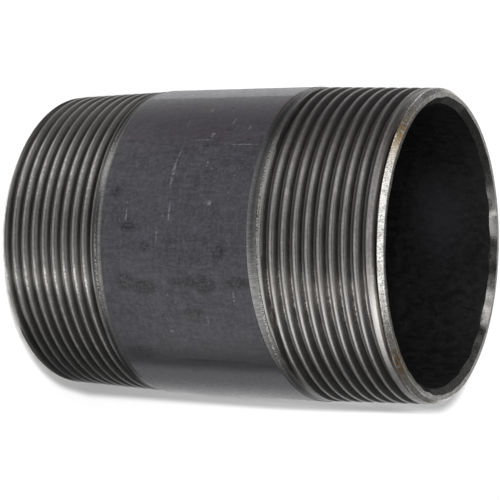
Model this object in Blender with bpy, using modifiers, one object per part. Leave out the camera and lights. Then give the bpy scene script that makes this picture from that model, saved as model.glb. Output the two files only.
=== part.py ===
"""Steel barrel nipple: a short length of pipe with a taper thread cut on each end.

The pipe's axis is +Z and the lower end face lies on z = 0. Lengths are in metres.
Each thread is 55 degree, right-handed, and grows by 1 in 16 on the diameter away from its end.
"""

import math

import bmesh
import bpy

# Pipe
OUTSIDE_DIAMETER = 0.0603
WALL = 0.00365
LENGTH = 0.080

# Taper thread
PITCH = 0.0254 / 11
TAPER = 1 / 16
HALF_ANGLE = math.radians(27.5)
HEIGHT_PER_PITCH = 0.640327
FLAT_PER_PITCH = 1 / 6
GAUGE_LENGTH = 0.0159
GAUGE_ALLOWANCE = 0.000686

# Cut lengths, from each end face to the shoulder where the pipe's own skin begins
UPPER_THREAD_LENGTH = 0.0260
LOWER_THREAD_LENGTH = 0.0233
SMOOTH_BAND = 0.0017
SKIM_DEPTH = 0.00006
RUN_OUT_LENGTH = 0.0026

# Distance from each end face to the crest that passes the +X side first
UPPER_CREST_START = 0.00192
LOWER_CREST_START = 0.00150

# End faces
END_LAND = 0.00023
END_FACE_WIDTH = 0.0009
OUTER_CHAMFER_ANGLE = math.radians(45)
INNER_BEVEL_ANGLE = math.radians(45)

# Mesh
SEGMENTS = 48
SLEEVE_MARGIN = 0.001
WELD = 0.000002

# Dark mill skin
STEEL_COLOUR = (0.072, 0.074, 0.082, 1.0)
STEEL_ROUGHNESS = 0.42
STEEL_METALLIC = 0.85

OUTER_RADIUS = OUTSIDE_DIAMETER / 2
BORE_RADIUS = OUTER_RADIUS - WALL
SKIM_RADIUS = OUTER_RADIUS - SKIM_DEPTH
THREAD_HEIGHT = HEIGHT_PER_PITCH * PITCH
CREST_RADIUS = OUTER_RADIUS - GAUGE_ALLOWANCE / 2 - GAUGE_LENGTH * TAPER / 2
ROOT_RADIUS = CREST_RADIUS - THREAD_HEIGHT
BEVEL_RADIUS = ROOT_RADIUS - END_LAND
FACE_RADIUS = BEVEL_RADIUS + END_FACE_WIDTH
SLEEVE_RADIUS = OUTER_RADIUS + SLEEVE_MARGIN


def clear_scene():
    for thing in list(bpy.data.objects):
        bpy.data.objects.remove(thing, do_unlink=True)


def new_collection(name):
    collection = bpy.data.collections.new(name)
    bpy.context.scene.collection.children.link(collection)
    return collection


def steel_material():
    material = bpy.data.materials.new("dark_mill_steel")
    material.use_nodes = True
    shader = material.node_tree.nodes["Principled BSDF"]
    shader.inputs["Base Color"].default_value = STEEL_COLOUR
    shader.inputs["Roughness"].default_value = STEEL_ROUGHNESS
    shader.inputs["Metallic"].default_value = STEEL_METALLIC
    return material


def profile_object(name, points, closed, collection):
    """An outline of (radius, height) points in the plane y = 0, ready to be turned about Z."""
    edges = [(i, i + 1) for i in range(len(points) - 1)]
    if closed:
        edges.append((len(points) - 1, 0))
    mesh = bpy.data.meshes.new(name)
    mesh.from_pydata([(radius, 0, height) for radius, height in points], edges, [])
    thing = bpy.data.objects.new(name, mesh)
    collection.objects.link(thing)
    return thing


def turn(thing, turns=1, rise_per_turn=0.0):
    """Turn an outline about Z, straight round or along a right-hand helix."""
    screw = thing.modifiers.new("turned", "SCREW")
    screw.axis = "Z"
    screw.steps = SEGMENTS
    screw.render_steps = SEGMENTS
    screw.iterations = turns
    screw.screw_offset = rise_per_turn
    screw.use_merge_vertices = rise_per_turn == 0
    screw.merge_threshold = WELD
    return screw


def end_outline(thread_length):
    """One end from its shoulder to its bore, as (radius, distance from the end face)."""
    chamfer_depth = (SKIM_RADIUS - FACE_RADIUS) / math.tan(OUTER_CHAMFER_ANGLE)
    bevel_depth = (BEVEL_RADIUS - BORE_RADIUS) / math.tan(INNER_BEVEL_ANGLE)
    return [
        (OUTER_RADIUS, thread_length + SKIM_DEPTH),
        (SKIM_RADIUS, thread_length),
        (SKIM_RADIUS, chamfer_depth),
        (FACE_RADIUS, 0.0),
        (BEVEL_RADIUS, 0.0),
        (BORE_RADIUS, bevel_depth),
    ]


def make_blank(collection):
    """The pipe before threading: bored, faced, chamfered, and skimmed where the threads go."""
    upper = [(radius, LENGTH - depth) for radius, depth in end_outline(UPPER_THREAD_LENGTH)]
    lower = end_outline(LOWER_THREAD_LENGTH)
    outer_side = upper[3::-1] + lower[:4]
    inner_side = lower[4:] + upper[:3:-1]
    blank = profile_object("pipe_nipple", outer_side + inner_side, True, collection)
    turn(blank)
    return blank


def thread_outline():
    """One pitch of the thread, as (radius at the end face, distance), from crest to crest."""
    half_flat = FLAT_PER_PITCH * PITCH / 2
    half_crest = PITCH / 2 - half_flat - THREAD_HEIGHT * math.tan(HALF_ANGLE)
    return [
        (CREST_RADIUS, -half_crest),
        (CREST_RADIUS, half_crest),
        (ROOT_RADIUS, PITCH / 2 - half_flat),
        (ROOT_RADIUS, PITCH / 2 + half_flat),
        (CREST_RADIUS, PITCH - half_crest),
    ]


def thread_point(radius, depth, thread_length):
    """Taper the thread, lift it out of the metal at its run-out, and close off what lies past it."""
    run_out_end = thread_length - SMOOTH_BAND
    run_out_start = run_out_end - RUN_OUT_LENGTH
    sleeve_end = run_out_end + RUN_OUT_LENGTH
    if depth < -PITCH:
        return SLEEVE_RADIUS, -2 * PITCH
    if depth > sleeve_end:
        return SLEEVE_RADIUS, LENGTH + PITCH
    lift = max(0.0, depth - run_out_start) * THREAD_HEIGHT / RUN_OUT_LENGTH
    return min(radius + depth * TAPER / 2 + lift, SLEEVE_RADIUS), depth


def make_sleeve(name, thread_length, crest_start, upper_end, collection):
    """A closed plug whose outside is one threaded end. The metal of that end lies within it."""
    first_crest = crest_start - 4 * PITCH
    turns = math.ceil((thread_length + RUN_OUT_LENGTH - first_crest) / PITCH) + 1
    outline = [(radius, first_crest + depth) for radius, depth in thread_outline()]
    sleeve = profile_object(name, outline, False, collection)
    turn(sleeve, turns, PITCH)
    mesh = bpy.data.meshes.new_from_object(sleeve.evaluated_get(bpy.context.evaluated_depsgraph_get()))
    sleeve.modifiers.clear()
    sleeve.data = mesh

    shape = bmesh.new()
    shape.from_mesh(mesh)
    for vertex in shape.verts:
        angle = math.atan2(vertex.co.y, vertex.co.x)
        radius, depth = thread_point(math.hypot(vertex.co.x, vertex.co.y), vertex.co.z, thread_length)
        vertex.co = (radius * math.cos(angle), radius * math.sin(angle), depth)
        if upper_end:
            vertex.co = (vertex.co.x, -vertex.co.y, LENGTH - depth)
    bmesh.ops.remove_doubles(shape, verts=shape.verts, dist=WELD)
    bmesh.ops.holes_fill(shape, edges=[edge for edge in shape.edges if edge.is_boundary])
    bmesh.ops.recalc_face_normals(shape, faces=shape.faces)
    shape.to_mesh(mesh)
    shape.free()

    sleeve.hide_render = True
    sleeve.display_type = "WIRE"
    return sleeve


def cut_thread(blank, sleeve):
    """Keep the metal of the blank that lies within the threaded plug."""
    cut = blank.modifiers.new(sleeve.name, "BOOLEAN")
    cut.operation = "INTERSECT"
    cut.solver = "EXACT"
    cut.object = sleeve


def finish(blank):
    """Weld the fine seams that the cuts leave, and shade the round faces smooth."""
    mesh = bpy.data.meshes.new_from_object(blank.evaluated_get(bpy.context.evaluated_depsgraph_get()))
    blank.modifiers.clear()
    blank.data = mesh
    shape = bmesh.new()
    shape.from_mesh(mesh)
    bmesh.ops.remove_doubles(shape, verts=shape.verts, dist=WELD)
    bmesh.ops.dissolve_degenerate(shape, edges=shape.edges, dist=WELD)
    shape.to_mesh(mesh)
    shape.free()
    mesh.shade_smooth()
    mesh.set_sharp_from_angle(angle=math.radians(25))
    mesh.materials.clear()
    mesh.materials.append(steel_material())


def build():
    clear_scene()
    parts = new_collection("barrel_nipple")
    cutters = new_collection("cutters")
    blank = make_blank(parts)
    upper = make_sleeve("upper_thread", UPPER_THREAD_LENGTH, UPPER_CREST_START, True, cutters)
    lower = make_sleeve("lower_thread", LOWER_THREAD_LENGTH, LOWER_CREST_START, False, cutters)
    cut_thread(blank, upper)
    cut_thread(blank, lower)
    finish(blank)


build()
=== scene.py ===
"""Looks of the steel pipe nipple: a fine mesh with cut threads, its finishes, light and camera.

The pipe's axis is +Z and the lower end face lies on z = 0. Lengths are in metres.
"""

import math

import bpy
import numpy as np
from mathutils import Matrix, Vector

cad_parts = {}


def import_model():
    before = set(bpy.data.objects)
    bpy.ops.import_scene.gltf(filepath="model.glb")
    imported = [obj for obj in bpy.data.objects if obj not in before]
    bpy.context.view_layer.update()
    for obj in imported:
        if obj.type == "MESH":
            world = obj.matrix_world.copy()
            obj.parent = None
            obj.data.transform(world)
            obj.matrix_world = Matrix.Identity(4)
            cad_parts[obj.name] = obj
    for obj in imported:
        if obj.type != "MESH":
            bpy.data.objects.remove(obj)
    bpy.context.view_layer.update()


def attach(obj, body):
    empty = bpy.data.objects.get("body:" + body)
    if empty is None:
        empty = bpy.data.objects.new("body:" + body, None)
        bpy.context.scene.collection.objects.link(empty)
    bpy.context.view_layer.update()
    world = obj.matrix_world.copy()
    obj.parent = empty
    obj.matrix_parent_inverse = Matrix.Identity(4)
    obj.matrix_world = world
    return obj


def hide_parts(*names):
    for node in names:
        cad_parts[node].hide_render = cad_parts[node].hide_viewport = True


MM = 0.001

# Pipe and thread, the same values as the solid
OUTER_RADIUS = 30.15 * MM
BORE_RADIUS = 26.5 * MM
LENGTH = 80.0 * MM
PITCH = 25.4 / 11 * MM
TAPER_ON_RADIUS = 1 / 32
HALF_ANGLE = math.radians(27.5)
SKIM_RADIUS = 30.09 * MM
CREST_RADIUS = 29.31 * MM
FACE_RADIUS = 28.50 * MM
BEVEL_RADIUS = 27.60 * MM

# Worn form of the thread: flats at crest and root as parts of a pitch
HALF_CREST = 0.17
HALF_ROOT = 0.09
FLANK = 0.5 - HALF_CREST - HALF_ROOT
THREAD_DEPTH = FLANK * PITCH / math.tan(HALF_ANGLE)
CREST_SOFTNESS = 0.50 * MM
ROOT_SOFTNESS = 0.22 * MM

# Stretches and fades round the pipe are in degrees from its front, -Y, towards -X. A stretch has a
# middle and a half width, and a fade has a start and an end.

# Narrow slit behind the upper chamfer
SLIT_PLACE = 1.22 * MM
SLIT_WANDER = 0.12 * MM
SLIT_HALF_WIDTH = 0.40 * MM
SLIT_DEPTH = 0.55 * MM
SLIT_START_FADE = (-52, -36)
SLIT_END_FADE = (40, 56)

# Shallow channel between the shoulder and the last crest
CHANNEL_WIDTH = 2.05 * MM
CHANNEL_DEPTH = 0.14 * MM
CHANNEL_WALL = 0.86

# Rubbed, stained and torn lines along the thread, as place and half width in pitches from a crest
RIDGE_LINE = (0.03, 0.11)
STAIN_LINE = (0.5, 0.12)
TORN_LINE = (0.16, 0.07)

# The last crest is torn up to this far from the shoulder
TORN_FADE = (2.6 * MM, 2.9 * MM)

# How far the cutter stands back on the land, and how much duller the land is on the -X side
LAND_LIFT = 1.2 * THREAD_DEPTH
LAND_DULLING = 0.75
LAND_DULLING_FADE = (20, 42)

# The blank's cone stands this far outside the crests
CONE_ALLOWANCE = 0.02 * MM

# Unevenness: size, the most waves round the pipe, and the most radians per metre along it
CREST_WANDER = (0.02 * MM, 9, 400)
CHAMFER_WANDER = (0.05 * MM, 14, 100)
BEVEL_WANDER = (0.10 * MM, 26, 0)
EDGE_WANDER = (0.05 * MM, 40, 0)

# Breaks in the painted glints and the torn lines: the most waves as above, and the fade from broken to
# whole
PAINTED_GLINT_WAVES = (60, 2500)
PAINTED_GLINT_BREAKS = (-1.4, 0.4)
TORN_WAVES = (9, 0)
TORN_BREAKS = (-1.2, 1.0)
WAVES_SUMMED = 14

# Each end in its own frame: the cut stops at a slightly oblique shoulder, deepest at one angle,
# and the cutter leaves the metal over a short way before it. No groove is cut on the land behind
# the chamfer, which fades out. Next come stretches, each after its strength: a painted highlight
# on the crests (worn), a painted sheen (pale), a painted highlight
# on the land (shine), rust on the rim (rust), and a painted glint along each flank
# (glint), at a place and half width in pitches
UPPER_END = {
    "shoulder": 23.6 * MM, "slant": 2.4 * MM, "deepest": math.radians(115),
    "run_out_start": 3.0 * MM, "run_out_length": 0.9 * MM,
    "crest": 2.04 * MM, "land_fade": (1.9 * MM, 2.7 * MM), "land_light": 1.0,
    "worn": ((1.0, -29, 12),),
    "pale": ((0.17, -15.5, 6), (0.06, 76, 9)),
    "shine": ((1.0, -23, 9),),
    "rust": ((1.0, 44, 11), (1.0, -46, 9)),
    "glint": ((1.0, -19, 10),), "painted_glint_line": (-0.40, 0.055),
    "columns": 300, "seed": 11,
}
LOWER_END = {
    "shoulder": 23.0 * MM, "slant": 0.5 * MM, "deepest": math.radians(-70),
    "run_out_start": 2.9 * MM, "run_out_length": 0.9 * MM,
    "crest": 1.50 * MM, "land_fade": (0.4 * MM, 1.1 * MM), "land_light": 0.3,
    "worn": ((0.55, 38, 12),),
    "pale": ((0.17, -8, 10), (0.22, -14.8, 3.5), (0.38, 62, 13)),
    "shine": (),
    "rust": (),
    "glint": ((1.0, -14, 6), (0.5, 24, 9)), "painted_glint_line": (0.02, 0.10),
    "columns": 240, "seed": 23,
}

# Lightness of the band beside each shoulder: its own tone, with the light lines, the lighter stretch
# low on the front and the patch as painted highlights, and the darker middle and foot as painted
# shade. Lines and the patch have a place and half width in millimetres from the shoulder
LOW_STRETCH = (-19, 17)
UPPER_BAND = {
    "base": 0.40, "low": 0.36, "line": 0.32, "dark": 0.30, "foot": 0.8, "most": 1.2,
    "line_fade": (0.10, 0.55), "line_stretch": (-8, 16), "dark_line": (1.0, 0.45),
    "foot_line": (1.85, 0.14), "foot_stretch": (-8, 26),
}
LOWER_BAND = {
    "base": 0.22, "low": 0.10, "line": 0.42, "dark": 0.28, "patch": 1.6, "most": 2.0,
    "line_place": (0.55, 0.28), "dark_line": (1.25, 0.40), "patch_place": (1.15, 0.40),
    "patch_stretch": (27, 8),
}

# The inner edge of the end face is dark where it faces the front
INNER_EDGE_FADE = (55, 80)

# Rows of the mesh
ROW_OFFSETS = (-0.42, -0.36, -0.30, -0.20, -0.12, -0.06, 0.0, 0.06, 0.12, 0.20, 0.30, 0.36, 0.42, 0.5)
RING_ZONE = 2.0 * MM
RING_STEP = 0.1 * MM
SNAP = 0.02 * MM
BORE_ROWS = (0.6 * MM, 2.5 * MM, 8 * MM, 18 * MM, 28 * MM)
BARREL_ROWS = (0.06 * MM, 1.5 * MM, 6 * MM)
CUT_DEPTH = 0.85 * MM

SHARP_ANGLE = math.radians(40)

# Painted reflections on the bevel, with a painted glint at -14: lightness at angles from the back of the
# pipe, in degrees, rising from -X to +X
PAINTED_BEVEL_REFLECTION = (
    (-180, 0.10), (-110, 0.08), (-55, 0.12), (-42, 0.14), (-36, 0.10), (-32, 0.18), (-24, 0.22),
    (-21, 0.30), (-15.5, 0.34), (-14, 0.95), (-12.5, 0.34), (-5, 0.28), (-2, 0.08), (0, 0.06),
    (10, 0.05), (14, 0.12), (17, 0.16), (19, 0.34), (21, 0.50), (24, 0.30), (27, 0.50), (30, 0.38),
    (34, 0.30), (37, 0.07), (46, 0.10), (52, 0.20), (60, 0.24), (110, 0.16), (180, 0.10),
)


def smooth_min(a, b, softness):
    """The smaller of two surfaces, rounded where they meet."""
    blend = np.clip(0.5 + 0.5 * (b - a) / softness, 0, 1)
    return b + (a - b) * blend - softness * blend * (1 - blend)


def smooth_max(a, b, softness):
    return -smooth_min(-a, -b, softness)


def smooth_step(low, high, value):
    t = np.clip((value - low) / (high - low), 0, 1)
    return t * t * (3 - 2 * t)


def ripple(angle, depth, seed, most_round, most_along):
    """Smooth unevenness between about -1 and 1 that closes up round the pipe."""
    random = np.random.default_rng(seed)
    total = np.zeros_like(angle)
    for _ in range(WAVES_SUMMED):
        turns = random.integers(1, most_round + 1)
        along = random.uniform(-1, 1) * most_along
        phase = random.uniform(0, 2 * math.pi)
        total += np.sin(turns * angle + along * depth + phase)
    return total / math.sqrt(WAVES_SUMMED)


def wander(angle, depth, seed, settings):
    """Unevenness of a given size."""
    size, most_round, most_along = settings
    return size * ripple(angle, depth, seed, most_round, most_along)


def pitch_place(angle, depth, end):
    """Place within a pitch, in pitches: 0 on a crest and 0.5 in a root."""
    turns = (depth - end["crest"]) / PITCH - angle / (2 * math.pi)
    return turns - np.round(turns)


def facing(angle, upper):
    """Angle from the front of the pipe, -Y, towards -X, between -180 and 180 degrees."""
    turned = np.degrees(angle) - 90 if upper else -90 - np.degrees(angle)
    return (turned + 180) % 360 - 180


def bell(value, middle, half_width):
    return np.exp(-((value - middle) / half_width) ** 2)


def on_stretches(front, stretches):
    """Sum of bells round the pipe, each with its strength, middle and half width."""
    total = np.zeros_like(front)
    for strength, middle, half_width in stretches:
        total += strength * bell(front, middle, half_width)
    return total


def shoulder_depth(angle, end):
    """Distance from the end face to where the pipe's own skin begins."""
    return end["shoulder"] + end["slant"] * np.cos(angle - end["deepest"])


def land_share(depth, end):
    """1 on the land behind the chamfer, fading to 0 where the groove is full."""
    return 1 - smooth_step(*end["land_fade"], depth)


def tool_lift(angle, depth, end):
    """How far the cutter stands back from full depth, at the end face and at the run-out."""
    start = shoulder_depth(angle, end) - end["run_out_start"]
    run_out = np.maximum(0, depth - start) * THREAD_DEPTH / end["run_out_length"]
    return run_out + LAND_LIFT * land_share(depth, end)


def slit_share(angle, depth, end, upper):
    """1 in the middle of the slit behind the upper chamfer. It runs out on both sides of the front."""
    middle = SLIT_PLACE + SLIT_WANDER * np.sin(angle + end["seed"])
    front = facing(angle, upper)
    here = smooth_step(*SLIT_START_FADE, front) * (1 - smooth_step(*SLIT_END_FADE, front))
    return upper * here * np.maximum(0, 1 - np.abs(depth - middle) / SLIT_HALF_WIDTH)


def channel_share(angle, depth, end):
    """Depth of the shallow channel beside the shoulder, from 0 to 1 at the foot of its steep wall."""
    place = (shoulder_depth(angle, end) - depth) / CHANNEL_WIDTH
    return smooth_step(0, CHANNEL_WALL, place) * (1 - smooth_step(CHANNEL_WALL, 1, place))


def upper_bright_share(left, front, low):
    """A painted highlight line near the shoulder, a middle darker with painted shade and a foot of
    painted shade.
    """
    band = UPPER_BAND
    line = (1 - smooth_step(*band["line_fade"], left)) * bell(front, *band["line_stretch"])
    middle = bell(left, *band["dark_line"]) * (1 - low)
    foot = bell(left, *band["foot_line"]) * bell(front, *band["foot_stretch"])
    return np.clip(band["base"] + band["low"] * low + band["line"] * line - band["dark"] * middle
                   - band["foot"] * foot, 0, band["most"])


def lower_bright_share(left, front, low):
    """A painted highlight line, a darker line of painted shade and one bright patch of painted
    highlight.
    """
    band = LOWER_BAND
    line = bell(left, *band["line_place"])
    dark = bell(left, *band["dark_line"]) * (1 - low)
    patch = bell(left, *band["patch_place"]) * bell(front, *band["patch_stretch"])
    return np.clip(band["base"] + band["low"] * low + band["line"] * line + band["patch"] * patch
                   - band["dark"] * dark, 0, band["most"])


def bright_share(angle, depth, end, upper):
    """How light the band beside the shoulder is, with painted highlights and painted shade."""
    left = (shoulder_depth(angle, end) - depth) / MM
    front = facing(angle, upper)
    low = bell(front, *LOW_STRETCH)
    return upper_bright_share(left, front, low) if upper else lower_bright_share(left, front, low)


def ridge_share(angle, depth, end, upper):
    """1 on the rubbed line along each crest and on the land, fading to 0 beside them."""
    side = -1 if upper else 1
    line = bell(side * pitch_place(angle, depth, end), *RIDGE_LINE)
    dulled = 1 - LAND_DULLING * smooth_step(*LAND_DULLING_FADE, facing(angle, upper))
    return np.maximum(line, land_share(depth, end) * dulled * end["land_light"])


def stain_share(angle, depth, end):
    """1 along the middle of each root, fading to 0 on the flanks."""
    return bell(np.abs(pitch_place(angle, depth, end)), *STAIN_LINE)


def painted_glint_share(angle, depth, end, upper):
    """1 on the painted glint along each flank, in broken stretches on the front."""
    broken = smooth_step(*PAINTED_GLINT_BREAKS, ripple(angle, depth, end["seed"] + 6, *PAINTED_GLINT_WAVES))
    line = bell(pitch_place(angle, depth, end), *end["painted_glint_line"])
    return broken * line * on_stretches(facing(angle, upper), end["glint"])


def outer_surface(angle, depth, end, upper):
    """Radius of the outer surface of one end."""
    seed = end["seed"]
    place = np.abs(pitch_place(angle, depth, end))
    cone = CREST_RADIUS + depth * TAPER_ON_RADIUS
    groove = (HALF_CREST - place) * PITCH / math.tan(HALF_ANGLE)
    groove = smooth_max(groove, -THREAD_DEPTH + 0 * place, ROOT_SOFTNESS)
    form = cone + groove + tool_lift(angle, depth, end) + wander(angle, depth, seed + 1, CREST_WANDER)
    blank = np.minimum(SKIM_RADIUS, cone + CONE_ALLOWANCE)
    chamfer = FACE_RADIUS + depth + wander(angle, depth, seed + 2, CHAMFER_WANDER)
    blank = np.minimum(blank, np.maximum(chamfer, FACE_RADIUS))
    blank = blank - SLIT_DEPTH * slit_share(angle, depth, end, upper)
    blank = blank - CHANNEL_DEPTH * channel_share(angle, depth, end)
    radius = smooth_min(form, blank, CREST_SOFTNESS)
    return np.minimum(radius, SKIM_RADIUS)


def painted_bevel_reflection(angle, upper):
    """Lightness of the bevel round the bore: painted reflections that change round it."""
    turned = (facing(angle, upper) + 360) % 360 - 180
    places, tones = zip(*PAINTED_BEVEL_REFLECTION)
    return np.interp(turned, places, tones)


def torn_share(angle, depth, end):
    """Where the last crest is torn, along its edge at the shoulder, more in some places."""
    left = shoulder_depth(angle, end) - depth
    edge = bell(pitch_place(angle, depth, end), *TORN_LINE)
    uneven = smooth_step(*TORN_BREAKS, ripple(angle, 0 * depth, end["seed"] + 3, *TORN_WAVES))
    return edge * uneven * (1 - smooth_step(*TORN_FADE, left))


def helix_grid(end):
    """Depths of a grid whose rows follow the thread, with one row to a line of its profile."""
    columns = end["columns"]
    angle = np.arange(columns) * 2 * math.pi / columns
    low = math.floor((RING_ZONE - end["crest"]) / PITCH) - 2
    high = math.ceil((end["shoulder"] + end["slant"] - end["crest"]) / PITCH) + 1
    offsets = np.array([turn + offset for turn in range(low, high + 1) for offset in ROW_OFFSETS])
    depth = end["crest"] + PITCH * (angle[None, :] / (2 * math.pi) + offsets[:, None])
    return angle, depth


# Values that the mesh carries for its materials
MASKS = ("ridge", "stain", "left", "bright", "torn", "slit", "shine", "rust", "tone", "glint", "worn",
         "pale", "inner")


class Builder:
    """Collects the points and faces of one closed mesh."""

    def __init__(self):
        self.points = []
        self.masks = {name: [] for name in MASKS}
        self.faces = []
        self.finish = []
        self.count = 0

    def add(self, points, **masks):
        start = self.count
        self.points.append(points)
        for name, values in self.masks.items():
            values.append(masks.get(name, np.zeros(len(points))))
        self.count += len(points)
        return np.arange(start, self.count)

    def face(self, corners, finish):
        kept = [corner for i, corner in enumerate(corners) if corner != corners[i - 1]]
        if len(kept) > 2 and len(set(kept)) == len(kept):
            self.faces.append(kept)
            self.finish.append(finish)

    def strip(self, first, second, finish):
        """Faces between two rings with the same number of points."""
        for i in range(len(first)):
            j = (i + 1) % len(first)
            self.face([first[i], first[j], second[j], second[i]], finish)

    def stitch(self, first, first_angle, second, second_angle, finish):
        """Triangles between two rings with different numbers of points, both in rising angle."""
        i = j = 0
        while i < len(first) or j < len(second):
            next_first = first_angle[i % len(first)] + 2 * math.pi * (i // len(first))
            next_second = second_angle[j % len(second)] + 2 * math.pi * (j // len(second))
            a, b = first[i % len(first)], second[j % len(second)]
            if i < len(first) and (j >= len(second) or next_first <= next_second):
                self.face([a, first[(i + 1) % len(first)], b], finish)
                i += 1
            else:
                self.face([a, second[(j + 1) % len(second)], b], finish)
                j += 1


# Finishes, in the order of the materials
SKIN, THREAD, CUT, BORE, BEVEL = range(5)


def to_model(angle, radius, depth, upper):
    """Points of one end in the model's frame. The upper end is the lower form turned over."""
    x = radius * np.cos(angle)
    y = radius * np.sin(angle)
    if upper:
        return np.stack([x, -y, LENGTH - depth], axis=1)
    return np.stack([x, y, depth], axis=1)


def add_plain(builder, upper, angle, radius, depth, **masks):
    """A ring of points at a given radius and depth."""
    depth = np.broadcast_to(depth, angle.shape)
    radius = np.broadcast_to(radius, angle.shape)
    return builder.add(to_model(angle, radius, depth, upper), **masks)


def add_cut(builder, end, upper, angle, depth):
    """Points on the machined outside of one end."""
    depth = np.broadcast_to(depth, angle.shape)
    radius = outer_surface(angle, depth, end, upper)
    front = facing(angle, upper)
    masks = {
        "ridge": ridge_share(angle, depth, end, upper),
        "stain": stain_share(angle, depth, end),
        "left": (shoulder_depth(angle, end) - depth) / MM,
        "bright": bright_share(angle, depth, end, upper),
        "torn": torn_share(angle, depth, end),
        "slit": slit_share(angle, depth, end, upper),
        "shine": on_stretches(front, end["shine"]) * land_share(depth, end),
        "rust": on_stretches(front, end["rust"]),
        "glint": painted_glint_share(angle, depth, end, upper),
        "worn": on_stretches(front, end["worn"]),
        "pale": on_stretches(front, end["pale"]),
    }
    return builder.add(to_model(angle, radius, depth, upper), **masks)


def thread_zone(builder, end, upper, first_ring, last_ring):
    """Faces of the threaded surface between two rings, on rows that follow the helix."""
    angle, depth = helix_grid(end)
    rows, columns = depth.shape
    shoulder = np.broadcast_to(shoulder_depth(angle, end)[None, :], depth.shape)
    index = np.where(depth < shoulder - SNAP, first_ring[None, :], last_ring[None, :])
    inside = (depth > RING_ZONE + SNAP) & (depth < shoulder - SNAP)
    angles = np.broadcast_to(angle[None, :], depth.shape)[inside]
    index[inside] = add_cut(builder, end, upper, angles, depth[inside])
    turn = len(ROW_OFFSETS)
    for row in range(rows - 1):
        for column in range(columns - 1):
            builder.face([index[row, column], index[row, column + 1],
                          index[row + 1, column + 1], index[row + 1, column]], THREAD)
        if row + turn + 1 < rows:
            builder.face([index[row, columns - 1], index[row + turn, 0],
                          index[row + turn + 1, 0], index[row + 1, columns - 1]], THREAD)


def build_end(builder, end, upper):
    """One end from the middle of the bore, over the end face, to the middle of the barrel."""
    seed = end["seed"]
    angle = np.arange(end["columns"]) * 2 * math.pi / end["columns"]
    bevel_depth = BEVEL_RADIUS - BORE_RADIUS
    bevel_wave = wander(angle, 0 * angle, seed + 4, BEVEL_WANDER)
    edge_wave = wander(angle, 0 * angle, seed + 5, EDGE_WANDER)
    face_masks = {
        "tone": painted_bevel_reflection(angle, upper),
        "rust": on_stretches(facing(angle, upper), end["rust"]),
        "inner": 1 - smooth_step(*INNER_EDGE_FADE, np.abs(facing(angle, upper))),
    }
    face_radius = outer_surface(angle, 0 * angle, end, upper)
    half_bevel = (BORE_RADIUS + BEVEL_RADIUS) / 2 + edge_wave
    half_face = (BEVEL_RADIUS + face_radius) / 2

    rings = [(add_plain(builder, upper, angle, BORE_RADIUS, bevel_depth + row), BORE)
             for row in reversed(BORE_ROWS)]
    face_rings = (
        (BORE_RADIUS, bevel_depth + bevel_wave, BEVEL),
        (half_bevel, bevel_depth / 2, BEVEL),
        (BEVEL_RADIUS + 2 * edge_wave, 0.0, CUT),
        (half_face, 0.0, CUT),
    )
    for radius, depth, finish in face_rings:
        rings.append((add_plain(builder, upper, angle, radius, depth, **face_masks), finish))
    for depth in np.arange(0.0, RING_ZONE + RING_STEP / 2, RING_STEP):
        finish = CUT if depth < CUT_DEPTH else THREAD
        rings.append((add_cut(builder, end, upper, angle, depth), finish))
    for (first, finish), (second, _) in zip(rings, rings[1:]):
        builder.strip(first, second, finish)

    shoulder = shoulder_depth(angle, end)
    shoulder_ring = add_cut(builder, end, upper, angle, shoulder)
    thread_zone(builder, end, upper, rings[-1][0], shoulder_ring)
    barrel = [shoulder_ring]
    for row in BARREL_ROWS:
        barrel.append(add_plain(builder, upper, angle, OUTER_RADIUS, shoulder + row))
    for first, second in zip(barrel, barrel[1:]):
        builder.strip(first, second, SKIN)
    return rings[0][0], barrel[-1]


def rising(builder_points, ring):
    """A ring's points and their angles, in rising angle round the pipe."""
    angle = np.arctan2(builder_points[ring, 1], builder_points[ring, 0])
    order = np.argsort(angle)
    return ring[order], angle[order]


def make_body(materials):
    builder = Builder()
    upper_bore, upper_barrel = build_end(builder, UPPER_END, True)
    lower_bore, lower_barrel = build_end(builder, LOWER_END, False)
    points = np.concatenate(builder.points)
    builder.stitch(*rising(points, lower_barrel), *rising(points, upper_barrel), SKIN)
    builder.stitch(*rising(points, upper_bore), *rising(points, lower_bore), BORE)

    mesh = bpy.data.meshes.new("nipple_body")
    mesh.from_pydata(points.tolist(), [], [list(map(int, face)) for face in builder.faces])
    mesh.update()
    for material in materials:
        mesh.materials.append(material)
    mesh.polygons.foreach_set("material_index", builder.finish)
    for name, values in builder.masks.items():
        mesh.attributes.new(name, "FLOAT", "POINT").data.foreach_set("value", np.concatenate(values))
    mesh.shade_smooth()
    mesh.set_sharp_from_angle(angle=SHARP_ANGLE)
    body = bpy.data.objects.new("nipple_body", mesh)
    bpy.context.scene.collection.objects.link(body)
    return body


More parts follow.
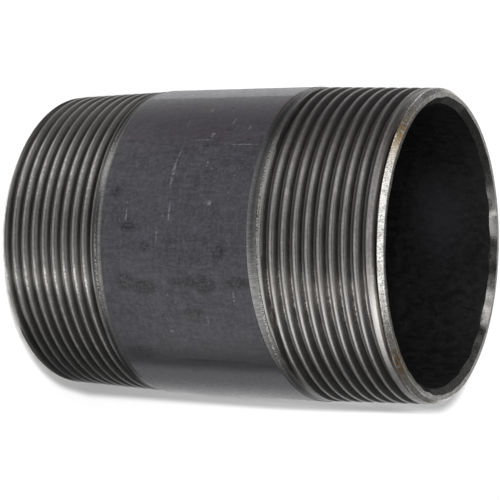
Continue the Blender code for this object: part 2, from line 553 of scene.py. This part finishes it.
class Nodes:
    """Short calls for building one material's nodes."""

    def __init__(self, name):
        self.material = bpy.data.materials.new(name)
        self.material.use_nodes = True
        self.tree = self.material.node_tree
        self.shader = self.tree.nodes["Principled BSDF"]

    def new(self, kind, **settings):
        node = self.tree.nodes.new(kind)
        for name, value in settings.items():
            setattr(node, name, value)
        return node

    def link(self, source, target):
        self.tree.links.new(source, target)

    def place(self, scale):
        """Model coordinates, scaled by so many per millimetre along x, y and z."""
        coordinates = self.new("ShaderNodeTexCoord")
        mapping = self.new("ShaderNodeMapping")
        mapping.inputs["Scale"].default_value = [value / MM for value in scale]
        self.link(coordinates.outputs["Object"], mapping.inputs["Vector"])
        return mapping.outputs["Vector"]

    def noise(self, scale, detail=4.0, roughness=0.6):
        node = self.new("ShaderNodeTexNoise")
        node.inputs["Scale"].default_value = 1.0
        node.inputs["Detail"].default_value = detail
        node.inputs["Roughness"].default_value = roughness
        self.link(self.place(scale), node.inputs["Vector"])
        return node.outputs["Fac"]

    def range(self, value, low, high, to_low=0.0, to_high=1.0):
        node = self.new("ShaderNodeMapRange", interpolation_type="SMOOTHSTEP")
        node.inputs["From Min"].default_value = low
        node.inputs["From Max"].default_value = high
        node.inputs["To Min"].default_value = to_low
        node.inputs["To Max"].default_value = to_high
        self.link(value, node.inputs["Value"])
        return node.outputs["Result"]

    def math(self, operation, a, b):
        node = self.new("ShaderNodeMath", operation=operation)
        for socket, value in zip(node.inputs, (a, b)):
            if isinstance(value, (int, float)):
                socket.default_value = value
            else:
                self.link(value, socket)
        return node.outputs["Value"]

    def times(self, a, b):
        return self.math("MULTIPLY", a, b)

    def plus(self, a, b):
        return self.math("ADD", a, b)

    def mix(self, share, a, b):
        """Colour a, or b where the share is 1."""
        node = self.new("ShaderNodeMix", data_type="RGBA")
        for socket, value in ((node.inputs[0], share), (node.inputs[6], a), (node.inputs[7], b)):
            if isinstance(value, float):
                socket.default_value = value
            elif isinstance(value, tuple):
                socket.default_value = (*value, 1.0)
            else:
                self.link(value, socket)
        return node.outputs[2]

    def bump(self, height, distance, strength=1.0):
        node = self.new("ShaderNodeBump")
        node.inputs["Distance"].default_value = distance
        node.inputs["Strength"].default_value = strength
        self.link(height, node.inputs["Height"])
        self.link(node.outputs["Normal"], self.shader.inputs["Normal"])

    def attribute(self, name):
        return self.new("ShaderNodeAttribute", attribute_name=name).outputs["Fac"]

    def across(self, axis="X"):
        """Place along X, Y or Z in millimetres."""
        split = self.new("ShaderNodeSeparateXYZ")
        self.link(self.place((1.0, 1.0, 1.0)), split.inputs["Vector"])
        return split.outputs[axis]

    def distance(self, place, half_lengths, turn=0.0):
        """Distance from a place, counted in half lengths in millimetres that are turned about Z."""
        mapping = self.new("ShaderNodeMapping", vector_type="TEXTURE")
        mapping.inputs["Location"].default_value = place
        mapping.inputs["Rotation"].default_value = (0.0, 0.0, turn)
        mapping.inputs["Scale"].default_value = [value * MM for value in half_lengths]
        self.link(self.new("ShaderNodeTexCoord").outputs["Object"], mapping.inputs["Vector"])
        length = self.new("ShaderNodeVectorMath", operation="LENGTH")
        self.link(mapping.outputs["Vector"], length.inputs[0])
        return length.outputs["Value"]

    def marks(self, places):
        """1 at each of some places on the pipe's skin, fading to 0 over their half lengths."""
        total = 0.0
        for degrees, height, half_round, half_along in places:
            turn = math.radians(degrees)
            place = (-OUTER_RADIUS * math.sin(turn), -OUTER_RADIUS * math.cos(turn), height * MM)
            far = self.distance(place, (half_round, MARK_THICKNESS, half_along), -turn)
            total = self.math("MAXIMUM", self.range(far, *MARK_FADE, 1.0, 0.0), total)
        return total

    def spot(self, middle, half_lengths):
        """1 at a place in the model, fading to 0 over its half lengths, in millimetres."""
        far = self.distance([value * MM for value in middle], half_lengths)
        return self.range(far, 0.0, 1.0, 1.0, 0.0)

    def set(self, **values):
        for name, value in values.items():
            self.shader.inputs[name.replace("_", " ")].default_value = value


# Marks on the skin: degrees from the front towards -X, height, half lengths round and along the pipe
LIGHT_MARKS = (
    (38.8, 41.2, 0.16, 2.8), (25.0, 37.3, 3.6, 0.35), (10.0, 37.9, 2.6, 0.2), (13.7, 46.0, 0.6, 0.6),
    (47.7, 46.0, 1.4, 0.3), (55.6, 39.6, 1.0, 0.5), (-27.8, 44.7, 0.9, 0.25), (-33.1, 36.3, 0.3, 0.6),
    (9.2, 28.8, 1.3, 0.2), (-19.0, 51.0, 1.6, 0.2), (36.5, 50.0, 0.14, 4.2), (33.5, 37.5, 1.5, 0.2),
    (47.0, 36.5, 1.3, 0.25), (41.0, 43.0, 0.9, 0.5), (44.5, 50.0, 0.7, 0.3), (28.5, 44.0, 0.9, 0.25),
    (2.5, 35.5, 1.8, 0.18),
)
DARK_MARKS = (
    (-13.8, 41.5, 1.2, 4.2), (-14.6, 45.4, 2.3, 2.6), (-13.6, 52.0, 1.4, 3.4), (-14.1, 28.2, 2.0, 2.4),
    (-16.1, 32.4, 1.9, 3.6), (-3.4, 48.3, 1.8, 1.8), (-1.5, 33.0, 1.3, 1.3), (5.3, 29.4, 1.2, 2.2),
    (-43.9, 27.7, 2.4, 4.2), (-46.8, 42.6, 0.5, 9.0), (17.5, 25.8, 1.4, 1.6), (-25.0, 42.0, 1.2, 3.0),
)
RUSTY_EDGE = (57.0, 54.4, 11.0, 0.5)
MARK_THICKNESS = 6.0
MARK_FADE = (0.45, 1.1)

# Where tones of the skin fade, in millimetres along X, except the front's, which is along Y and keeps
# the painted reflections to the front
BROWN_FADE = (-19.2, -17.8)
LOW_START_FADE = (16.5, 20.5)
LOW_END_FADE = (22.6, 24.2)
PAINTED_LIGHT_FRONT_FADE = (-9.0, -0.5)
LOWER_PAINTED_SHEEN_FADE = (22.6, 25.0)
UPPER_PAINTED_SHEEN_FADE = (-27.5, -22.0)
PAINTED_STRIP_FADE = (-27.78, -27.52)
PAINTED_STRIP_END_FADE = (-30.1, -28.4)

# Colours of the skin
SKIN_DARK = (0.0074, 0.0070, 0.0091)
SKIN_LIGHT = (0.0118, 0.0113, 0.0142)
SKIN_BROWN = (0.0185, 0.0150, 0.0185)
SKIN_WOVEN = (0.028, 0.0267, 0.033)
SKIN_GRIT = (0.034, 0.033, 0.038)
SKIN_LOW = (0.005, 0.005, 0.007)
SKIN_PAINTED_SHEEN = (0.045, 0.044, 0.049)
SKIN_PAINTED_STRIP = (0.092, 0.090, 0.100)
SKIN_BLOTCH = (0.003, 0.003, 0.0035)
SKIN_DARK_MARK = (0.0, 0.0, 0.0)
SKIN_RUST = (0.016, 0.008, 0.006)
SKIN_LIGHT_MARK = (0.14, 0.136, 0.140)
SKIN_SPECK = (0.12, 0.115, 0.11)


def skin_mottling(nodes, across, cloud):
    """Dark skin with a brownish stretch, a woven pattern, grit and a darker stretch low on the front."""
    unevenness = nodes.range(nodes.noise((0.45, 0.45, 0.22), 5.0, 0.75), 0.3, 0.7, -2.0, 2.0)
    ragged = nodes.plus(across, unevenness)
    woven = nodes.plus(nodes.noise((1.3, 1.3, 0.22), 5.0, 0.7), nodes.noise((0.3, 0.3, 1.7), 4.0, 0.7))
    grit = nodes.noise((1.9, 1.9, 1.2), 7.0, 0.8)
    base = nodes.mix(nodes.range(cloud, 0.35, 0.65), SKIN_DARK, SKIN_LIGHT)
    base = nodes.mix(nodes.range(ragged, *BROWN_FADE, 0.85, 0.0), base, SKIN_BROWN)
    base = nodes.mix(nodes.range(woven, 0.90, 1.20, 0.0, 0.45), base, SKIN_WOVEN)
    base = nodes.mix(nodes.range(grit, 0.44, 0.62, 0.0, 0.42), base, SKIN_GRIT)
    low_start = nodes.range(ragged, *LOW_START_FADE, 0.0, 0.5)
    low = nodes.times(low_start, nodes.range(across, *LOW_END_FADE, 1.0, 0.0))
    return nodes.mix(low, base, SKIN_LOW)


def skin_edges(nodes, across, base):
    """Paler stretches along both edges of the barrel, with a light strip in the upper one: painted
    reflections that fade out towards the back.
    """
    front = nodes.range(nodes.across("Y"), *PAINTED_LIGHT_FRONT_FADE, 1.0, 0.0)
    lower_painted_sheen = nodes.range(across, *LOWER_PAINTED_SHEEN_FADE, 0.0, 0.9)
    pale = nodes.plus(lower_painted_sheen, nodes.range(across, *UPPER_PAINTED_SHEEN_FADE, 0.45, 0.0))
    # Painted reflections: paler stretches along both edges of the barrel
    base = nodes.mix(nodes.times(pale, front), base, SKIN_PAINTED_SHEEN)
    # Painted reflection: a light strip along the upper edge of the barrel
    strip = nodes.times(nodes.range(across, *PAINTED_STRIP_FADE, 0.9, 0.0), front)
    strip = nodes.times(strip, nodes.range(across, *PAINTED_STRIP_END_FADE, 0.1, 1.0))
    return nodes.mix(strip, base, SKIN_PAINTED_STRIP)


def skin_marks(nodes, base):
    """Blotches, dark and light marks, the rusty edge and specks."""
    # Uneven wear that breaks up the marks
    worn = nodes.range(nodes.noise((2.2, 2.2, 1.8), 7.0, 0.9), 0.465, 0.53)
    speck = nodes.range(nodes.noise((1.9, 1.9, 1.9), 3.0), 0.66, 0.74)
    blotch = nodes.range(nodes.noise((0.7, 0.7, 0.6), 6.0, 0.85), 0.55, 0.66)
    base = nodes.mix(nodes.times(blotch, 0.7), base, SKIN_BLOTCH)
    dark = nodes.times(nodes.marks(DARK_MARKS), worn)
    base = nodes.mix(nodes.times(dark, 0.95), base, SKIN_DARK_MARK)
    base = nodes.mix(nodes.marks([RUSTY_EDGE]), base, SKIN_RUST)
    light = nodes.times(nodes.marks(LIGHT_MARKS), worn)
    base = nodes.mix(nodes.times(light, 0.38), base, SKIN_LIGHT_MARK)
    return nodes.mix(nodes.times(speck, 0.35), base, SKIN_SPECK)


def skin_material():
    """Dark satin skin of the barrel."""
    nodes = Nodes("mill_skin")
    across = nodes.across()
    cloud = nodes.noise((0.12, 0.12, 0.10), 5.0, 0.6)
    grain = nodes.noise((1.6, 1.6, 1.2), 4.0, 0.65)
    base = skin_mottling(nodes, across, cloud)
    base = skin_edges(nodes, across, base)
    base = skin_marks(nodes, base)
    nodes.link(base, nodes.shader.inputs["Base Color"])
    rough = nodes.plus(nodes.range(grain, 0.3, 0.7, 0.30, 0.42), nodes.range(cloud, 0.3, 0.7, 0.0, 0.06))
    nodes.link(rough, nodes.shader.inputs["Roughness"])
    nodes.set(Metallic=0.0, IOR=1.45, Specular_IOR_Level=0.30, Sheen_Weight=0.04, Sheen_Roughness=0.45)
    nodes.bump(nodes.plus(cloud, nodes.times(grain, 0.25)), 0.05 * MM, 0.6)
    return nodes.material


# Width of the band beside each shoulder, in millimetres
BAND_FADE = (1.92, 2.12)

# Where tones of the thread fade, in millimetres along X and along Z
BROWNED_FADE = (-22.0, -12.0)
LOWER_END_FADE = (34.0, 42.0)

# Colours of the thread, in pairs where a noise takes them from the first to the second
CREST_COLOURS = ((0.27, 0.260, 0.252), (0.335, 0.324, 0.314))
VALLEY_COLOURS = ((0.125, 0.122, 0.121), (0.17, 0.165, 0.164))
BAND_COLOURS = ((0.03, 0.03, 0.031), (0.21, 0.207, 0.203))
TORN_COLOURS = ((0.02, 0.016, 0.013), (0.42, 0.40, 0.37))
STAIN_COLOUR = (0.040, 0.032, 0.029)
LINE_COLOUR = (0.10, 0.095, 0.09)
CHATTER_COLOUR = (0.08, 0.076, 0.073)
BROWNED_COLOUR = (0.100, 0.080, 0.084)
PAINTED_HIGHLIGHT_COLOUR = (0.52, 0.505, 0.49)
PAINTED_SHEEN_COLOUR = (0.50, 0.48, 0.46)
PAINTED_GLINT_COLOUR = (0.80, 0.77, 0.73)
LOWER_END_COLOUR = (0.03, 0.03, 0.032)
PAINTED_SHINE_COLOUR = (0.62, 0.60, 0.57)
SLIT_PAINTED_SHADE_COLOUR = (0.03, 0.026, 0.023)


def groove_colours(nodes, ridge, lines, chatter):
    """Bright crests and dark, stained grooves, with a painted highlight on the crests, a painted sheen
    and painted glints.
    """
    patch = nodes.noise((0.25, 0.25, 0.35), 4.0)
    crest = nodes.mix(nodes.range(patch, 0.35, 0.65), *CREST_COLOURS)
    valley = nodes.mix(nodes.range(patch, 0.35, 0.65), *VALLEY_COLOURS)
    base = nodes.mix(ridge, valley, crest)
    stain = nodes.times(nodes.attribute("stain"), nodes.range(patch, 0.3, 0.6, 0.85, 1.0))
    base = nodes.mix(stain, base, STAIN_COLOUR)
    base = nodes.mix(nodes.times(nodes.range(lines, 0.4, 0.7), 0.25), base, LINE_COLOUR)
    base = nodes.mix(nodes.range(chatter, 0.42, 0.60, 0.42, 0.0), base, CHATTER_COLOUR)
    base = nodes.mix(nodes.range(nodes.across(), *BROWNED_FADE, 0.35, 0.0), base, BROWNED_COLOUR)
    # Painted highlight on the crests, then painted sheen and painted glints, in stretches round the pipe
    painted_highlight = nodes.times(nodes.attribute("worn"), nodes.plus(nodes.times(ridge, 0.42), 0.08))
    base = nodes.mix(painted_highlight, base, PAINTED_HIGHLIGHT_COLOUR)
    base = nodes.mix(nodes.attribute("pale"), base, PAINTED_SHEEN_COLOUR)
    glint = nodes.times(nodes.attribute("glint"), nodes.range(chatter, 0.42, 0.56))
    base = nodes.mix(glint, base, PAINTED_GLINT_COLOUR)
    return nodes.mix(nodes.range(nodes.across("Z"), *LOWER_END_FADE, 0.14, 0.0), base, LOWER_END_COLOUR)


def thread_material():
    """Freshly cut steel, with fine lines along the thread and a smooth band at the shoulder."""
    nodes = Nodes("cut_thread")
    ridge = nodes.attribute("ridge")
    torn = nodes.attribute("torn")
    band = nodes.range(nodes.attribute("left"), *BAND_FADE, 1.0, 0.0)
    lines = nodes.noise((0.10, 0.10, 14.0), 2.0)
    chatter = nodes.noise((2.2, 2.2, 1.5), 5.0, 0.8)
    hatch = nodes.noise((7.0, 7.0, 0.5), 2.0)
    pit = nodes.noise((4.5, 4.5, 4.5), 2.0, 0.5)
    base = groove_colours(nodes, ridge, lines, chatter)
    # The band's own tone, lightened and darkened by its painted highlights and painted shade
    light = nodes.times(nodes.attribute("bright"), nodes.range(hatch, 0.40, 0.62, 0.7, 1.3))
    base = nodes.mix(band, base, nodes.mix(light, *BAND_COLOURS))
    base = nodes.mix(torn, base, nodes.mix(nodes.range(pit, 0.47, 0.55), *TORN_COLOURS))
    # Painted highlight on the land behind the upper chamfer
    base = nodes.mix(nodes.times(nodes.attribute("shine"), 0.7), base, PAINTED_SHINE_COLOUR)
    # Painted shade in the slit behind the upper chamfer
    base = nodes.mix(nodes.times(nodes.attribute("slit"), 0.85), base, SLIT_PAINTED_SHADE_COLOUR)
    nodes.link(base, nodes.shader.inputs["Base Color"])
    rough = nodes.plus(nodes.range(chatter, 0.3, 0.7, 0.35, 0.42), nodes.times(ridge, 0.03))
    nodes.link(rough, nodes.shader.inputs["Roughness"])
    nodes.set(Metallic=1.0)
    height = nodes.plus(nodes.times(lines, 0.6), nodes.times(chatter, 0.5))
    height = nodes.plus(height, nodes.times(nodes.times(hatch, band), 0.5))
    height = nodes.plus(height, nodes.times(nodes.times(pit, torn), 5.0))
    nodes.bump(height, 0.02 * MM, 0.8)
    return nodes.material


# Colours of the chamfer and the end face
FACE_COLOURS = ((0.86, 0.845, 0.82), (0.62, 0.60, 0.57))
GOLD_COLOUR = (0.46, 0.33, 0.17)
FACE_LINE_COLOUR = (0.30, 0.285, 0.27)
INNER_EDGE_COLOUR = (0.045, 0.040, 0.036)
FACE_PIT_COLOUR = (0.16, 0.14, 0.125)


def cut_material():
    """Chamfer and end face: bright steel with dark pits and two stretches of golden rust."""
    nodes = Nodes("cut_face")
    pit = nodes.range(nodes.noise((3.2, 3.2, 3.2), 3.0, 0.7), 0.55, 0.62)
    grime = nodes.noise((0.5, 0.5, 0.5), 3.0, 0.6)
    gold = nodes.range(nodes.noise((1.1, 1.1, 1.1), 3.0, 0.6), 0.34, 0.50)
    lines = nodes.noise((7.5, 1.1, 0.6), 2.0)
    base = nodes.mix(nodes.range(grime, 0.35, 0.65), *FACE_COLOURS)
    base = nodes.mix(nodes.times(gold, nodes.attribute("rust")), base, GOLD_COLOUR)
    base = nodes.mix(nodes.range(lines, 0.50, 0.60, 0.0, 0.55), base, FACE_LINE_COLOUR)
    edge = nodes.times(nodes.attribute("inner"), nodes.range(lines, 0.40, 0.60, 0.6, 0.95))
    base = nodes.mix(edge, base, INNER_EDGE_COLOUR)
    base = nodes.mix(nodes.times(pit, 0.75), base, FACE_PIT_COLOUR)
    nodes.link(base, nodes.shader.inputs["Base Color"])
    nodes.link(nodes.range(pit, 0.0, 1.0, 0.26, 0.55), nodes.shader.inputs["Roughness"])
    nodes.set(Metallic=1.0)
    nodes.bump(lines, 0.03 * MM, 0.7)
    return nodes.material


# Colours of the bevel
BEVEL_COLOURS = ((0.0, 0.0, 0.0), (1.0, 0.98, 0.95))
BEVEL_SPECK_COLOUR = (0.06, 0.048, 0.04)


def bevel_material():
    """Bevel round the bore: steel with painted reflections of uneven lightness, and specks."""
    nodes = Nodes("bore_bevel")
    speck = nodes.noise((2.4, 2.4, 2.4), 3.0, 0.7)
    lines = nodes.noise((4.0, 4.0, 0.6), 2.0)
    light = nodes.times(nodes.attribute("tone"), nodes.range(speck, 0.35, 0.65, 0.75, 1.3))
    base = nodes.mix(light, *BEVEL_COLOURS)
    base = nodes.mix(nodes.range(speck, 0.60, 0.68, 0.0, 0.6), base, BEVEL_SPECK_COLOUR)
    nodes.link(base, nodes.shader.inputs["Base Color"])
    nodes.link(nodes.range(speck, 0.3, 0.7, 0.24, 0.40), nodes.shader.inputs["Roughness"])
    nodes.set(Metallic=1.0)
    nodes.bump(lines, 0.03 * MM, 0.6)
    return nodes.material


# Painted pool of light on the wall of the bore, as its middle and half lengths in millimetres
BORE_PAINTED_LIGHT_SPOT = ((-6.0, 25.8, 69.0), (15.0, 15.0, 9.5))

# Colours of the bore
BORE_COLOURS = ((0.0005, 0.0005, 0.0006), (0.0008, 0.0008, 0.0010))
BORE_PAINTED_LIGHT_COLOUR = (0.0046, 0.0044, 0.0052)
BORE_SPECK_COLOUR = (0.05, 0.05, 0.05)


def bore_material():
    """Dark scaled inside of the pipe."""
    nodes = Nodes("bore_skin")
    grain = nodes.noise((0.8, 0.8, 0.5), 4.0, 0.65)
    speck = nodes.range(nodes.noise((1.3, 1.3, 1.3), 2.0), 0.72, 0.78)
    base = nodes.mix(nodes.range(grain, 0.35, 0.65), *BORE_COLOURS)
    # Painted pool of light on the far wall of the bore
    base = nodes.mix(nodes.spot(*BORE_PAINTED_LIGHT_SPOT), base, BORE_PAINTED_LIGHT_COLOUR)
    base = nodes.mix(nodes.times(speck, 0.4), base, BORE_SPECK_COLOUR)
    nodes.link(base, nodes.shader.inputs["Base Color"])
    nodes.link(nodes.range(grain, 0.3, 0.7, 0.45, 0.62), nodes.shader.inputs["Roughness"])
    nodes.set(Metallic=0.0, IOR=1.80)
    nodes.bump(grain, 0.03 * MM, 0.5)
    return nodes.material


# Floor
FLOOR_HALF_SIZE = 4.0
FLOOR_COLOUR = (0.88, 0.88, 0.88, 1.0)


def floor_material():
    nodes = Nodes("pale_floor")
    cloud = nodes.noise((0.02, 0.02, 0.02))
    nodes.link(nodes.range(cloud, 0.3, 0.7, 0.55, 0.65), nodes.shader.inputs["Roughness"])
    nodes.set(Base_Color=FLOOR_COLOUR)
    return nodes.material


def make_floor():
    half = FLOOR_HALF_SIZE
    corners = [(-half, -half, 0), (half, -half, 0), (half, half, 0), (-half, half, 0)]
    mesh = bpy.data.meshes.new("floor")
    mesh.from_pydata(corners, [], [(0, 1, 2, 3)])
    mesh.materials.append(floor_material())
    floor = bpy.data.objects.new("floor", mesh)
    bpy.context.scene.collection.objects.link(floor)


# Camera, fitted to the photograph
CAMERA_PLACE = Vector((-1.52, -304.55, 202.0)) * MM
CAMERA_FORWARD = Vector((0.00857, 0.88148, -0.47216))
CAMERA_RIGHT = Vector((-0.0160, 0.47224, 0.88133))
CAMERA_LENS = 126.5
SENSOR_WIDTH = 36.0
NEAREST_SEEN = 0.01


def make_camera():
    forward = CAMERA_FORWARD.normalized()
    right = (CAMERA_RIGHT - forward * CAMERA_RIGHT.dot(forward)).normalized()
    up = right.cross(forward)
    data = bpy.data.cameras.new("camera")
    data.lens = CAMERA_LENS
    data.sensor_width = SENSOR_WIDTH
    data.clip_start = NEAREST_SEEN
    camera = bpy.data.objects.new("camera", data)
    turn = Matrix((right, up, -forward)).transposed()
    camera.matrix_world = Matrix.Translation(CAMERA_PLACE) @ turn.to_4x4()
    bpy.context.scene.collection.objects.link(camera)
    bpy.context.scene.camera = camera


# Light: power, size across and along, and place, in watts and millimetres
MIDDLE = Vector((0, 0, 40)) * MM
WORLD_BRIGHTNESS = 0.14
SOFT_LIGHTS = {
    "upper_strip": {"power": 0.85, "size": (160, 700), "place": (-480, -460, 330)},
    "lower_strip": {"power": 0.40, "size": (140, 700), "place": (430, -500, 330)},
    "overhead": {"power": 1.2, "size": (1000, 300), "place": (0, -330, 620)},
    "ceiling": {"power": 6.0, "size": (1600, 1600), "place": (0, 0, 1300), "glossy": False},
    "upper_back": {"power": 0.08, "size": (400, 240), "place": (-480, 150, 120), "diffuse": False},
    "upper_board": {"power": 0.16, "size": (260, 160), "place": (-400, -390, 95), "diffuse": False},
    "rim_board": {"power": 0.60, "size": (300, 520), "place": (-560, -90, 600), "diffuse": False},
    "back": {"power": 0.24, "size": (700, 400), "place": (0, 600, 400), "diffuse": False},
    "lower_board": {"power": 0.40, "size": (460, 160), "place": (370, -330, 95), "diffuse": False},
}
KEY_STRENGTH = 6.5
KEY_DIRECTION = (-0.284, -2.5, 1.0)
KEY_ANGLE = math.radians(0.8)


def add_light(name, kind, place):
    """A light that points at the middle of the pipe."""
    data = bpy.data.lights.new(name, kind)
    light = bpy.data.objects.new(name, data)
    light.location = place
    light.rotation_euler = (MIDDLE - light.location).to_track_quat("-Z", "Y").to_euler()
    light.visible_camera = False
    bpy.context.scene.collection.objects.link(light)
    return light


def make_lights():
    for name, settings in SOFT_LIGHTS.items():
        light = add_light(name, "AREA", Vector(settings["place"]) * MM)
        light.data.shape = "RECTANGLE"
        light.data.energy = settings["power"]
        light.data.size, light.data.size_y = [value * MM for value in settings["size"]]
        light.visible_glossy = settings.get("glossy", True)
        light.visible_diffuse = settings.get("diffuse", True)
    key = add_light("key", "SUN", MIDDLE + Vector(KEY_DIRECTION))
    key.data.energy = KEY_STRENGTH
    key.data.angle = KEY_ANGLE
    key.visible_glossy = False


# Cards on the floor that only reflections see, as corners in millimetres, and their brightness
CARD_HEIGHT = 0.5 * MM
CARDS = {
    "upper_dark": (((-22, -24), (-265, -84), (-330, 60), (-27, -15)), 0.10),
    "upper_grey": (((-27, -15), (-330, 60), (-250, 189), (-28, -12)), 0.35),
    "lower_dark": (((25, -18), (260, -30), (240, 200), (28, -8)), 0.15),
    "upper_bright": (((-18, -26), (-180, -190), (-265, -84), (-22, -24)), 0.9),
    "lower_bright": (((8, -31), (75, -290), (260, -30), (25, -18)), 1.9),
    "upper_near": (((-13, -27), (-45, -54), (-62, -27), (-20, -22)), 1.6),
    "upper_near_grey": (((-20, -22), (-62, -27), (-60, 15), (-28, -10)), 0.6),
    "lower_near_grey": (((10, -29), (33, -57), (50, -42), (16, -26)), 0.7),
    "lower_near_dark": (((16, -26), (50, -42), (66, -21), (28, -10)), 0.2),
}
CARD_STEP = 0.05 * MM


def card_material(name, brightness):
    nodes = Nodes(name)
    nodes.set(Base_Color=(0.0, 0.0, 0.0, 1.0), Specular_IOR_Level=0.0)
    nodes.set(Emission_Color=(1.0, 1.0, 1.0, 1.0), Emission_Strength=brightness)
    return nodes.material


def make_cards():
    for level, (name, (corners, brightness)) in enumerate(CARDS.items()):
        height = CARD_HEIGHT + level * CARD_STEP
        mesh = bpy.data.meshes.new(name)
        mesh.from_pydata([(x * MM, y * MM, height) for x, y in corners], [], [(0, 1, 2, 3)])
        mesh.materials.append(card_material(name, brightness))
        card = bpy.data.objects.new(name, mesh)
        bpy.context.scene.collection.objects.link(card)
        card.visible_camera = False
        card.visible_diffuse = False
        card.visible_shadow = False
        card.visible_transmission = False


# Soft shade on the floor along the foot of the pipe, where the key light leaves none. It follows the
# foot from one angle to another, then runs straight along the edge of the key's shadow. Angles here
# are from +X towards +Y.
SHADE_START = math.radians(-85)
SHADE_TURN = math.radians(-6.5)
SHADE_FOOT_POINTS = 60
SHADE_RUN_POINTS = 40
SHADE_RUN = 200 * MM
SHADE_HEIGHT = 0.2 * MM
SHADE_TONE = 0.18

# How far the shade reaches outwards: by the way outwards along the foot, with more round one angle,
# and a width on the run that fades out
SHADE_SHIFT = (1.46 * MM, 2.26 * MM)
SHADE_EXTRA = 0.7 * MM
SHADE_EXTRA_STRETCH = (-62, 22)
SHADE_ALONG_KEY = 1.8 * MM
SHADE_FADE = (80 * MM, 200 * MM)
SHADE_SOFTNESS = 0.8 * MM

# Where the shade starts inwards: under the pipe along the foot, and on the run a little inside its
# line, further inside at the run's start and end
SHADE_FOOT_INNER = -3 * MM
SHADE_RUN_INNER = 0.7 * MM
SHADE_INNER_EXTRA = 0.9 * MM
SHADE_INNER_START_FADE = (0, 60 * MM)
SHADE_INNER_END_FADE = (130 * MM, 180 * MM)

# The shade fades in over its first points and out over the last part of the run
SHADE_FIRST_POINTS = (0, 8)
SHADE_LAST_PART = (0.8, 1)

# Rows of the card, in millimetres outwards from its line
SHADE_REACH = (-2.4, -1.6, -1.1, -0.7, -0.3, 0.0, 0.3, 0.7, 1.1, 1.6, 2.1, 2.7, 3.3)


def shade_foot():
    """Points along the foot, the way outwards, and where the shade ends and starts."""
    angle = np.linspace(SHADE_START, SHADE_TURN, SHADE_FOOT_POINTS)
    way = np.stack([np.cos(angle), np.sin(angle)], axis=1)
    reach = way @ np.array(SHADE_SHIFT) + SHADE_EXTRA * bell(np.degrees(angle), *SHADE_EXTRA_STRETCH)
    return OUTER_RADIUS * way, way, reach, np.full_like(angle, SHADE_FOOT_INNER)


def shade_run(corner, way):
    """The same for the straight run, which starts at a corner and leaves it at right angles."""
    run = np.linspace(0, SHADE_RUN, SHADE_RUN_POINTS)[1:]
    line = corner + run[:, None] * np.array([-way[1], way[0]])
    reach = SHADE_ALONG_KEY * (1 - smooth_step(*SHADE_FADE, run))
    inner = SHADE_INNER_EXTRA * (smooth_step(*SHADE_INNER_START_FADE, run) - 1) - SHADE_RUN_INNER
    inner = inner - SHADE_INNER_EXTRA * smooth_step(*SHADE_INNER_END_FADE, run)
    return line, np.repeat(way[None, :], len(run), axis=0), reach, inner


def shade_line():
    """The foot and the run together, as four arrays."""
    foot = shade_foot()
    run = shade_run(foot[0][-1], foot[1][-1])
    return [np.concatenate(pair) for pair in zip(foot, run)]


def shade_ends(count):
    """How much of the shade is left near its start, and near its end."""
    run = np.linspace(0, 1, count - SHADE_FOOT_POINTS)
    fade_out = 1 - smooth_step(*SHADE_LAST_PART, run)
    return (smooth_step(*SHADE_FIRST_POINTS, np.arange(count)),
            np.concatenate([np.ones(SHADE_FOOT_POINTS), fade_out]))


def shade_material():
    nodes = Nodes("floor_shade")
    clear = nodes.new("ShaderNodeBsdfTransparent")
    colour = nodes.mix(nodes.attribute("shade"), (1.0, 1.0, 1.0), (SHADE_TONE,) * 3)
    nodes.link(colour, clear.inputs["Color"])
    nodes.link(clear.outputs["BSDF"], nodes.tree.nodes["Material Output"].inputs["Surface"])
    return nodes.material


def shade_mesh():
    """A strip of faces along the shade's line, with the depth of the shade at each point."""
    line, way, reach, inner = shade_line()
    count = len(line)
    near_start, near_end = shade_ends(count)
    rings = []
    shades = []
    for offset in SHADE_REACH:
        place = line + offset * MM * way
        shade = 1 - smooth_step(-SHADE_SOFTNESS, SHADE_SOFTNESS, offset * MM - reach)
        shade = shade * (offset * MM >= inner) * near_end * near_start
        rings.append(np.column_stack([place, np.full(count, SHADE_HEIGHT)]))
        shades.append(shade)
    faces = [(ring * count + i, (ring + 1) * count + i, (ring + 1) * count + i + 1, ring * count + i + 1)
             for ring in range(len(rings) - 1) for i in range(count - 1)]
    mesh = bpy.data.meshes.new("foot_shade")
    mesh.from_pydata(np.concatenate(rings).tolist(), [], faces)
    mesh.attributes.new("shade", "FLOAT", "POINT").data.foreach_set("value", np.concatenate(shades))
    return mesh


def make_shade():
    """A thin card that only casts shadow, lighter towards its outer edge."""
    mesh = shade_mesh()
    mesh.materials.append(shade_material())
    card = bpy.data.objects.new("foot_shade", mesh)
    bpy.context.scene.collection.objects.link(card)
    card.visible_camera = False
    card.visible_diffuse = False
    card.visible_glossy = False


def make_world():
    world = bpy.data.worlds.new("studio")
    world.use_nodes = True
    background = world.node_tree.nodes["Background"]
    background.inputs["Color"].default_value = (1.0, 1.0, 1.0, 1.0)
    background.inputs["Strength"].default_value = WORLD_BRIGHTNESS
    bpy.context.scene.world = world


def main():
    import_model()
    make_floor()
    make_camera()
    make_world()
    make_lights()
    make_cards()
    make_shade()
    body = make_body([skin_material(), thread_material(), cut_material(), bore_material(),
                      bevel_material()])
    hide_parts("pipe_nipple")
    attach(body, "root")
    bpy.context.scene.view_settings.view_transform = "Standard"


main()
